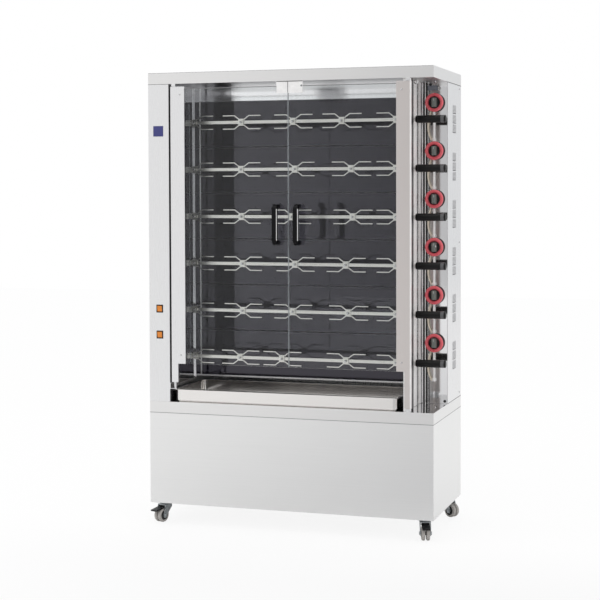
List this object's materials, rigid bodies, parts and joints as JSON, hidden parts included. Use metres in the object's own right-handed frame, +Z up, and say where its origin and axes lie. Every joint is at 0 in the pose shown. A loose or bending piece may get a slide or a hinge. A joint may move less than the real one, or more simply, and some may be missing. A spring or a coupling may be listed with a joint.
{
  "type": "rotisserie oven",
  "caption": "Gas rotisserie cabinet: horizontal spits one above another behind glazed double doors, with a drip tray, drive column, gas knobs and a castor base.",
  "frame": {"origin": "under the middle of the whole object's box, on the floor", "axes": "+Z up, +Y into the depth (the doors face -Y), +X to the operator's right"},
  "size_m": [1.158, 0.574, 1.768],
  "materials": {
    "stainless": "fine brushed stainless sheet",
    "polished": "polished stainless sheet",
    "black_ceramic": "glossy black glass-ceramic",
    "brass": "plain brass and coated steel pipe",
    "galvanised": "zinc-plated pressed steel",
    "black_plastic": "satin black heat-proof plastic",
    "clear_glass": "clear toughened glass",
    "amber": "clear amber plastic, lit",
    "spit_steel": "bright drawn steel",
    "red_plastic": "glossy red plastic",
    "grey_rubber": "grey-beige soft tread"
  },
  "bodies": {
    "root": {"base_cabinet": "stainless", "base_top": "stainless", "top_cap": "stainless", "drive_column": "stainless", "left_lining": "stainless", "right_wall": "polished", "back_tiles": "black_ceramic", "burner_box": "stainless", "rear_panel": "stainless", "side_panel": "stainless", "control_panel": "polished", "valance": "polished", "door_fittings": "stainless", "chain_drive": "galvanised", "switch_bezels": "black_plastic", "gas_train": "brass", "castor_plates": "galvanised"},
    "door_left": {"door_glass_left": "clear_glass", "door_stile_left": "stainless", "door_handle_left": "black_plastic"},
    "door_right": {"door_glass_right": "clear_glass", "door_stile_right": "stainless", "door_handle_right": "black_plastic"},
    "tray": {"drip_tray": "stainless"},
    "rocker_upper": {"rocker_upper": "amber"},
    "rocker_lower": {"rocker_lower": "amber"},
    "knob_1": {"gas_knob_1": "red_plastic"},
    "knob_2": {"gas_knob_2": "red_plastic"},
    "knob_3": {"gas_knob_3": "red_plastic"},
    "knob_4": {"gas_knob_4": "red_plastic"},
    "knob_5": {"gas_knob_5": "red_plastic"},
    "knob_6": {"gas_knob_6": "red_plastic"},
    "spit_1": {"spit_1": "spit_steel", "spit_grip_1": "black_plastic", "spit_drive_1": "spit_steel"},
    "spit_2": {"spit_2": "spit_steel", "spit_grip_2": "black_plastic", "spit_drive_2": "spit_steel"},
    "spit_3": {"spit_3": "spit_steel", "spit_grip_3": "black_plastic", "spit_drive_3": "spit_steel"},
    "spit_4": {"spit_4": "spit_steel", "spit_grip_4": "black_plastic", "spit_drive_4": "spit_steel"},
    "spit_5": {"spit_5": "spit_steel", "spit_grip_5": "black_plastic", "spit_drive_5": "spit_steel"},
    "spit_6": {"spit_6": "spit_steel", "spit_grip_6": "black_plastic", "spit_drive_6": "spit_steel"},
    "castor_fl": {"castor_fork_fl": "galvanised"},
    "wheel_fl": {"castor_wheel_fl": "grey_rubber"},
    "pedal_fl": {"brake_pedal_fl": "black_plastic"},
    "castor_fr": {"castor_fork_fr": "galvanised"},
    "wheel_fr": {"castor_wheel_fr": "grey_rubber"},
    "pedal_fr": {"brake_pedal_fr": "black_plastic"},
    "castor_rl": {"castor_fork_rl": "galvanised"},
    "wheel_rl": {"castor_wheel_rl": "grey_rubber"},
    "castor_rr": {"castor_fork_rr": "galvanised"},
    "wheel_rr": {"castor_wheel_rr": "grey_rubber"}
  },
  "joints": [
    {"name": "door_left_hinge", "type": "hinge", "parent": "root", "child": "door_left", "pos_m": [-0.472, -0.237, 0.482], "axis": [0, 0, -1], "range_deg": [0, 110]},
    {"name": "door_right_hinge", "type": "hinge", "parent": "root", "child": "door_right", "pos_m": [0.464, -0.237, 0.482], "axis": [0, 0, 1], "range_deg": [0, 110]},
    {"name": "tray_slide", "type": "slide", "parent": "root", "child": "tray", "axis": [0, -1, 0], "range_m": [0, 0.3]},
    {"name": "rocker_upper_tilt", "type": "hinge", "parent": "root", "child": "rocker_upper", "pos_m": [-0.535, -0.243, 0.847], "axis": [-1, 0, 0], "range_deg": [0, 14]},
    {"name": "rocker_lower_tilt", "type": "hinge", "parent": "root", "child": "rocker_lower", "pos_m": [-0.535, -0.243, 0.745], "axis": [-1, 0, 0], "range_deg": [0, 14]},
    {"name": "knob_1_turn", "type": "hinge", "parent": "root", "child": "knob_1", "pos_m": [0.511, 0.007, 1.645], "axis": [0, -1, 0], "range_deg": [0, 210]},
    {"name": "knob_2_turn", "type": "hinge", "parent": "root", "child": "knob_2", "pos_m": [0.511, 0.007, 1.4597], "axis": [0, -1, 0], "range_deg": [0, 210]},
    {"name": "knob_3_turn", "type": "hinge", "parent": "root", "child": "knob_3", "pos_m": [0.511, 0.007, 1.2744], "axis": [0, -1, 0], "range_deg": [0, 210]},
    {"name": "knob_4_turn", "type": "hinge", "parent": "root", "child": "knob_4", "pos_m": [0.511, 0.007, 1.0891], "axis": [0, -1, 0], "range_deg": [0, 210]},
    {"name": "knob_5_turn", "type": "hinge", "parent": "root", "child": "knob_5", "pos_m": [0.511, 0.007, 0.9038], "axis": [0, -1, 0], "range_deg": [0, 210]},
    {"name": "knob_6_turn", "type": "hinge", "parent": "root", "child": "knob_6", "pos_m": [0.511, 0.007, 0.7185], "axis": [0, -1, 0], "range_deg": [0, 210]},
    {"name": "spit_1_turn", "type": "hinge", "parent": "root", "child": "spit_1", "pos_m": [0.454, -0.108, 1.577], "axis": [1, 0, 0], "continuous": true},
    {"name": "spit_2_turn", "type": "hinge", "parent": "root", "child": "spit_2", "pos_m": [0.454, -0.108, 1.3917], "axis": [1, 0, 0], "continuous": true},
    {"name": "spit_3_turn", "type": "hinge", "parent": "root", "child": "spit_3", "pos_m": [0.454, -0.108, 1.2064], "axis": [1, 0, 0], "continuous": true},
    {"name": "spit_4_turn", "type": "hinge", "parent": "root", "child": "spit_4", "pos_m": [0.454, -0.108, 1.0211], "axis": [1, 0, 0], "continuous": true},
    {"name": "spit_5_turn", "type": "hinge", "parent": "root", "child": "spit_5", "pos_m": [0.454, -0.108, 0.8358], "axis": [1, 0, 0], "continuous": true},
    {"name": "spit_6_turn", "type": "hinge", "parent": "root", "child": "spit_6", "pos_m": [0.454, -0.108, 0.6505], "axis": [1, 0, 0], "continuous": true},
    {"name": "castor_fl_swivel", "type": "hinge", "parent": "root", "child": "castor_fl", "pos_m": [-0.537, -0.198, 0.08], "axis": [0, 0, 1], "continuous": true},
    {"name": "wheel_fl_roll", "type": "hinge", "parent": "castor_fl", "child": "wheel_fl", "pos_m": [-0.54384, -0.21679, 0.0275], "axis": [0.9397, -0.342, 0], "continuous": true},
    {"name": "pedal_fl_lift", "type": "hinge", "parent": "castor_fl", "child": "pedal_fl", "pos_m": [-0.54179, -0.21116, 0.06], "axis": [-0.9397, 0.342, 0], "range_deg": [0, 18]},
    {"name": "castor_fr_swivel", "type": "hinge", "parent": "root", "child": "castor_fr", "pos_m": [0.519, -0.198, 0.08], "axis": [0, 0, 1], "continuous": true},
    {"name": "wheel_fr_roll", "type": "hinge", "parent": "castor_fr", "child": "wheel_fr", "pos_m": [0.52485, -0.21713, 0.0275], "axis": [0.9563, 0.2924, 0], "continuous": true},
    {"name": "pedal_fr_lift", "type": "hinge", "parent": "castor_fr", "child": "pedal_fr", "pos_m": [0.52309, -0.21139, 0.06], "axis": [-0.9563, -0.2924, 0], "range_deg": [0, 18]},
    {"name": "castor_rl_swivel", "type": "hinge", "parent": "root", "child": "castor_rl", "pos_m": [-0.537, 0.212, 0.08], "axis": [0, 0, 1], "continuous": true},
    {"name": "wheel_rl_roll", "type": "hinge", "parent": "castor_rl", "child": "wheel_rl", "pos_m": [-0.54545, 0.19387, 0.0275], "axis": [0.9063, -0.4226, 0], "continuous": true},
    {"name": "castor_rr_swivel", "type": "hinge", "parent": "root", "child": "castor_rr", "pos_m": [0.519, 0.212, 0.08], "axis": [0, 0, 1], "continuous": true},
    {"name": "wheel_rr_roll", "type": "hinge", "parent": "castor_rr", "child": "wheel_rr", "pos_m": [0.53632, 0.202, 0.0275], "axis": [0.5, 0.866, 0], "continuous": true}
  ],
  "couplings": [
    {"joint": "spit_2_turn", "follows": "spit_1_turn", "ratio": 1},
    {"joint": "spit_3_turn", "follows": "spit_1_turn", "ratio": 1},
    {"joint": "spit_4_turn", "follows": "spit_1_turn", "ratio": 1},
    {"joint": "spit_5_turn", "follows": "spit_1_turn", "ratio": 1},
    {"joint": "spit_6_turn", "follows": "spit_1_turn", "ratio": 1}
  ]
}
